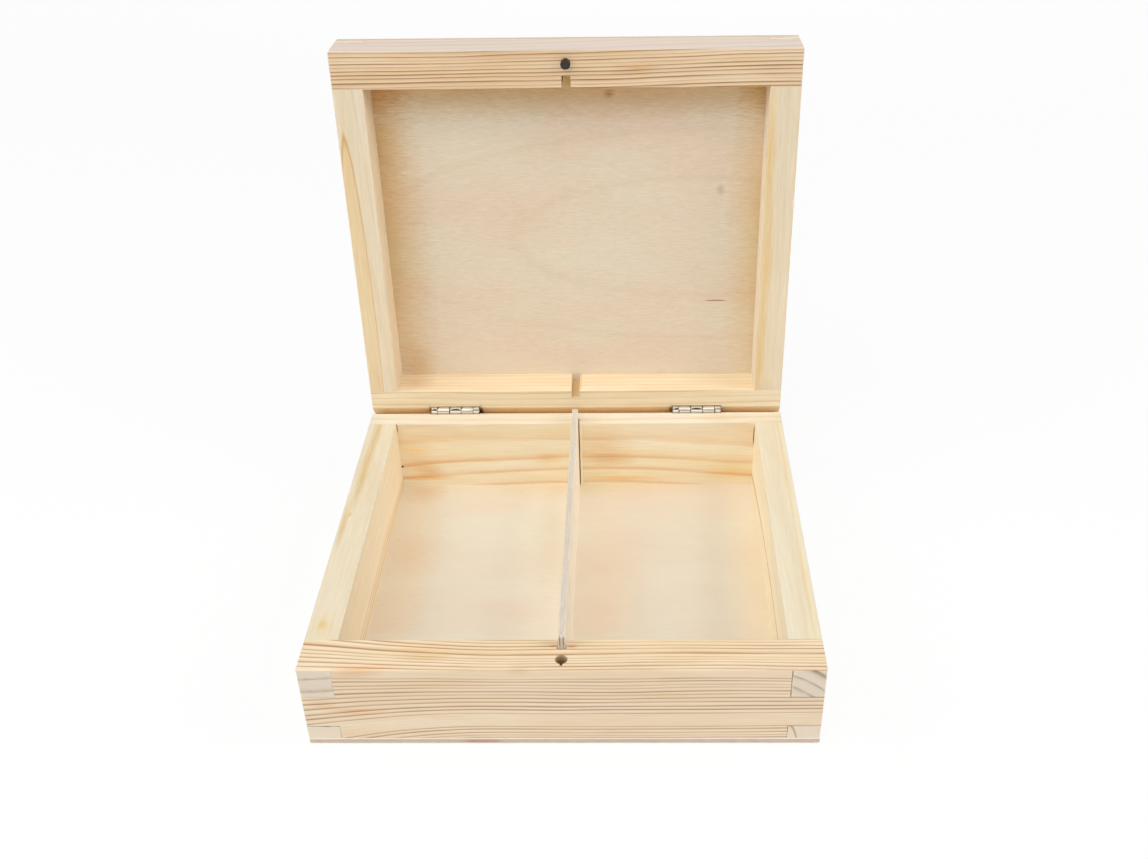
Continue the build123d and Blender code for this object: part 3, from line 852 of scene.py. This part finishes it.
def plated(name, light, dark, gloss, place, across, darkening_from, darkest_from, spots=()):
    """Plated steel that darkens between two distances, in mm, from an axis through the place, and on faces
    that face along the X axis. On the hinges this is painted shade in the seam's groove and the splits
    between knuckles; on a magnet it is its darker rim.
    """
    material, tree, shader = new_material(name)
    metal = mapped(tree, place)
    marks = figure(tree, metal, 6, 0.5, 1.0, 4.0)
    colour = mixed(tree, marks, linear(light), linear(dark))
    offset = vector_worked_out(tree, "MULTIPLY", metal, across)
    away = vector_worked_out(tree, "LENGTH", offset)
    deep = between(tree, away, darkening_from, darkest_from)
    # Painted shade: faces that face along the hinge line, such as the knuckles' ends, are darkened as the
    # splits between them.
    knuckle_end = between(tree, facing(tree, Vector((1, 0, 0))), 0.85, 0.95)
    darkening = worked_out(tree, "MAXIMUM", deep, knuckle_end)
    darkened = mixed(tree, darkening, colour, linear(shade_and_rim_brown))
    darkened = marked(tree, darkened, mapped(tree, millimetres), marks, spots)
    coat(tree, shader, darkened, marks, strength=0.2, depth=0.0001)
    tree.links.new(between(tree, marks, 0.3, 0.7, *gloss).outputs[0], shader.inputs["Roughness"])
    shader.inputs["Metallic"].default_value = 1.0
    return material


def corners_of(points):
    """The lowest and the highest corner of some points."""
    low = Vector([min(point[axis] for point in points) for axis in range(3)])
    high = Vector([max(point[axis] for point in points) for axis in range(3)])
    return low, high


knuckle_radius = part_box("left_hinge_base_leaf")[1].z * 1000 - hinge_line.z * 1000
from_hinge_line = millimetres @ Matrix.Translation(-hinge_line)
# Painted shade: near-black spots and streaks where the knuckles split and along the seam of the roll.
split_and_seam_shade = [((x, 93.7, 46.6), (0.5, 1.0, 1.0), "4a3a22", 0.6) for x in (-74.4, -68.0, -61.6, 61.8, 68.2)]
split_and_seam_shade += [((x, 92.0, 45.2), (0.4, 0.8, 0.8), "5a4a30", 0.6) for x in (-68.0, 55.6, 61.8, 74.8)]
split_and_seam_shade += [((x, 92.66, 46.14), (long, 0.7, 0.5), "4a3a22", 0.4) for x, long in (
    (-76.1, 1.3), (-64.8, 2.9), (54.2, 1.2), (65.0, 2.9))]
nickel = plated("nickel_plated_steel", "dbd4c6", "b8af9f", (0.5, 0.62), from_hinge_line, across=(0, 1, 1),
                darkening_from=knuckle_radius - 0.02, darkest_from=knuckle_radius - 0.14, spots=split_and_seam_shade)
pin_steel = plated("oiled_pin_steel", "8b8781", "6a655f", (0.3, 0.45), from_hinge_line, across=(0, 1, 1),
                   darkening_from=0.1, darkest_from=0.0)
for node_name in nodes:
    if "leaf" in node_name or "screws" in node_name:
        dress(node_name, nickel)
    elif "pin" in node_name:
        dress(node_name, pin_steel)

for node_name, closing in (("lid_magnet", turned_shut), ("base_magnet", as_it_stands)):
    low, high = corners_of([closing @ v.co for v in nodes[node_name].data.vertices])
    radius = (high.x - low.x) * 1000 / 2
    from_magnet = millimetres @ Matrix.Translation(-(low + high) / 2) @ closing
    dress(node_name, plated("dark_nickel_" + node_name, "484643", "302e2c", (0.4, 0.55), from_magnet,
                            across=(1, 1, 0), darkening_from=radius - 0.55, darkest_from=radius - 0.3))
    print(node_name, "is", round(2 * radius, 1), "mm across")

# %% [markdown]
# Eight small nickel-plated screws hold the hinges. CAD drew them without their threads, which have
# far too many faces there. Here one screw is built by Geometry Nodes and set eight times.
# The tree starts from points, one at the middle of each screw's head. It makes a countersunk head
# with a cross cut out of it, a core that ends in a point, and a thread swept along a spiral, and
# joins them into one closed solid. Cut and join ask for the exact solver: the quicker one leaves open
# edges where two faces lie in one plane, as the floors of the cross do. Then the tree puts a copy on
# every point, turned to face out of the wood, and gives each its own twist, since nobody stops eight
# screws at the same angle.

# %% A tree that makes threaded screws
screw_tree = bpy.data.node_groups.new("countersunk_screws", "GeometryNodeTree")
screw_tree.is_modifier = True
screw_tree.interface.new_socket("Geometry", in_out="OUTPUT", socket_type="NodeSocketGeometry")
screw_tree.interface.new_socket("Geometry", in_out="INPUT", socket_type="NodeSocketGeometry")
screw_inputs = {
    "Outward": "NodeSocketVector", "Length": "NodeSocketFloat", "Head Radius": "NodeSocketFloat",
    "Core Radius": "NodeSocketFloat", "Thread Depth": "NodeSocketFloat", "Pitch": "NodeSocketFloat",
    "Cross Length": "NodeSocketFloat", "Cross Width": "NodeSocketFloat", "Cross Depth": "NodeSocketFloat",
    "Seed": "NodeSocketInt", "Material": "NodeSocketMaterial",
}
input_names = {}
for label, kind in screw_inputs.items():
    socket = screw_tree.interface.new_socket(label, in_out="INPUT", socket_type=kind)
    input_names[label] = socket.identifier
given = screw_tree.nodes.new("NodeGroupInput").outputs
round_sides = 32


def cone(bottom, top, start, length):
    """A round piece of the screw along its axis, whose z runs into the wood."""
    shape = add(screw_tree, "GeometryNodeMeshCone", {}, {
        "Vertices": round_sides, "Radius Bottom": bottom, "Radius Top": top, "Depth": length})
    place = add(screw_tree, "ShaderNodeCombineXYZ", {}, {2: start})
    return add(screw_tree, "GeometryNodeTransform", {}, {
        "Geometry": shape.outputs["Mesh"], "Translation": place})


print("Inputs of the screw tree:", len(input_names))

# %% The screw's head, core and thread
tip_slimness = 3.0
thread_steps = 24
head_depth = worked_out(screw_tree, "SUBTRACT", given["Head Radius"], given["Core Radius"])
tip_length = worked_out(screw_tree, "MULTIPLY", given["Core Radius"], tip_slimness)
core_end = worked_out(screw_tree, "SUBTRACT", given["Length"], tip_length)
core_length = worked_out(screw_tree, "SUBTRACT", core_end, head_depth)
bars = []
for wide, deep in (("Cross Length", "Cross Width"), ("Cross Width", "Cross Length")):
    twice_deep = worked_out(screw_tree, "MULTIPLY", given["Cross Depth"], 2.0)
    size = add(screw_tree, "ShaderNodeCombineXYZ", {}, {0: given[wide], 1: given[deep], 2: twice_deep})
    bars.append(add(screw_tree, "GeometryNodeMeshCube", {}, {"Size": size}).outputs["Mesh"])
head = add(screw_tree, "GeometryNodeMeshBoolean", {"operation": "DIFFERENCE", "solver": "EXACT"}, {
    "Mesh 1": cone(given["Head Radius"], given["Core Radius"], 0.0, head_depth), "Mesh 2": bars})
core = cone(given["Core Radius"], given["Core Radius"], head_depth, core_length)
tip = cone(given["Core Radius"], 0.0, core_end, tip_length)

thread_start = worked_out(screw_tree, "ADD", head_depth, given["Pitch"])
thread_length = worked_out(screw_tree, "SUBTRACT", core_end, thread_start)
spiral = add(screw_tree, "GeometryNodeCurveSpiral", {}, {
    "Resolution": thread_steps, "Rotations": worked_out(screw_tree, "DIVIDE", thread_length, given["Pitch"]),
    "Start Radius": given["Core Radius"], "End Radius": given["Core Radius"], "Height": thread_length})
upright = add(screw_tree, "GeometryNodeSetCurveNormal", {"mode": "Z_UP"}, {"Curve": spiral})
ridge = add(screw_tree, "GeometryNodeCurvePrimitiveCircle", {}, {
    "Resolution": 3, "Radius": given["Thread Depth"]})
thread = add(screw_tree, "GeometryNodeCurveToMesh", {}, {
    "Curve": upright, "Profile Curve": ridge.outputs["Curve"], "Fill Caps": True})
lowered = add(screw_tree, "GeometryNodeTransform", {}, {
    "Geometry": thread, "Translation": add(screw_tree, "ShaderNodeCombineXYZ", {}, {2: thread_start})})
screw = add(screw_tree, "GeometryNodeMeshBoolean", {"operation": "UNION", "solver": "EXACT"}, {
    "Mesh 2": [head.outputs["Mesh"], core, tip, lowered]}).outputs["Mesh"]
print("The thread takes", thread_steps, "steps for each turn")

# %% Copies of the screw on the points
inward = add(screw_tree, "ShaderNodeVectorMath", {"operation": "SCALE"}, {
    0: given["Outward"], "Scale": -1.0})
facing_in = add(screw_tree, "FunctionNodeAlignRotationToVector", {"axis": "Z"}, {"Vector": inward})
twist = add(screw_tree, "FunctionNodeRandomValue", {"data_type": "FLOAT"}, {
    2: 0.0, 3: math.tau, "Seed": given["Seed"]})
twisted = add(screw_tree, "FunctionNodeAxisAngleToRotation", {}, {
    "Axis": (0, 0, 1), "Angle": twist.outputs[1]})
copies = add(screw_tree, "GeometryNodeInstanceOnPoints", {}, {
    "Points": given["Geometry"], "Instance": screw, "Rotation": facing_in})
turned = add(screw_tree, "GeometryNodeRotateInstances", {}, {
    "Instances": copies, "Rotation": twisted, "Local Space": True})
real = add(screw_tree, "GeometryNodeRealizeInstances", {}, {"Geometry": turned})
finished = add(screw_tree, "GeometryNodeSetMaterial", {}, {"Geometry": real, "Material": given["Material"]})
add(screw_tree, "NodeGroupOutput", {}, {"Geometry": finished})
print("Nodes in the screw tree:", len(screw_tree.nodes))

# %% [markdown]
# Where the screws go is read from the CAD screws: their points are sorted along the hinge, split
# where there is a wide gap, and the middle of each one's outermost points is the middle of its head.
# Each half of the box gets one mesh with its four screws, which moves with that half and stands in
# for the CAD screws. The mesh is made from the evaluated modifier, which is then removed.

# %% Eight screws in two pieces
gap_between_screws = 0.003
level_within = 0.00001
crease_angle = math.radians(35)


def head_middles(node_name, outward):
    """The middle of each screw's head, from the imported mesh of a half's four screws."""
    points = sorted((v.co.copy() for v in nodes[node_name].data.vertices), key=lambda point: point.x)
    screws = [[points[0]]]
    for point in points[1:]:
        if point.x - screws[-1][-1].x > gap_between_screws:
            screws.append([])
        screws[-1].append(point)
    middles = []
    for screw_points in screws:
        top = max(point.dot(outward) for point in screw_points)
        low, high = corners_of([point for point in screw_points if point.dot(outward) > top - level_within])
        middles.append((low + high) / 2)
    return middles


screw_sizes = {"Length": 0.008, "Head Radius": 0.00135, "Core Radius": 0.00048, "Thread Depth": 0.00024,
               "Pitch": 0.0007, "Cross Length": 0.0017, "Cross Width": 0.0004, "Cross Depth": 0.00045}
for half, seed in (("base", 3), ("lid", 8)):
    outward = bevel_direction(half + "_back_wall")
    middles = head_middles(half + "_hinge_screws", outward)
    points = bpy.data.meshes.new(half + "_screw_points")
    points.from_pydata(middles, [], [])
    piece = bpy.data.objects.new(half + "_threaded_screws", points)
    bpy.context.scene.collection.objects.link(piece)
    builder = piece.modifiers.new("screws", "NODES")
    builder.node_group = screw_tree
    builder[input_names["Outward"]] = outward
    builder[input_names["Seed"]] = seed
    builder[input_names["Material"]] = nickel
    for label, size in screw_sizes.items():
        builder[input_names[label]] = size
    evaluated = piece.evaluated_get(bpy.context.evaluated_depsgraph_get())
    mesh = bpy.data.meshes.new_from_object(evaluated)
    piece.modifiers.clear()
    piece.data = mesh
    mesh.shade_smooth()
    mesh.set_sharp_from_angle(angle=crease_angle)
    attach(piece, half)
    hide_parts(half + "_hinge_screws")
    print(piece.name, "has", len(middles), "screws and", len(mesh.polygons), "faces")
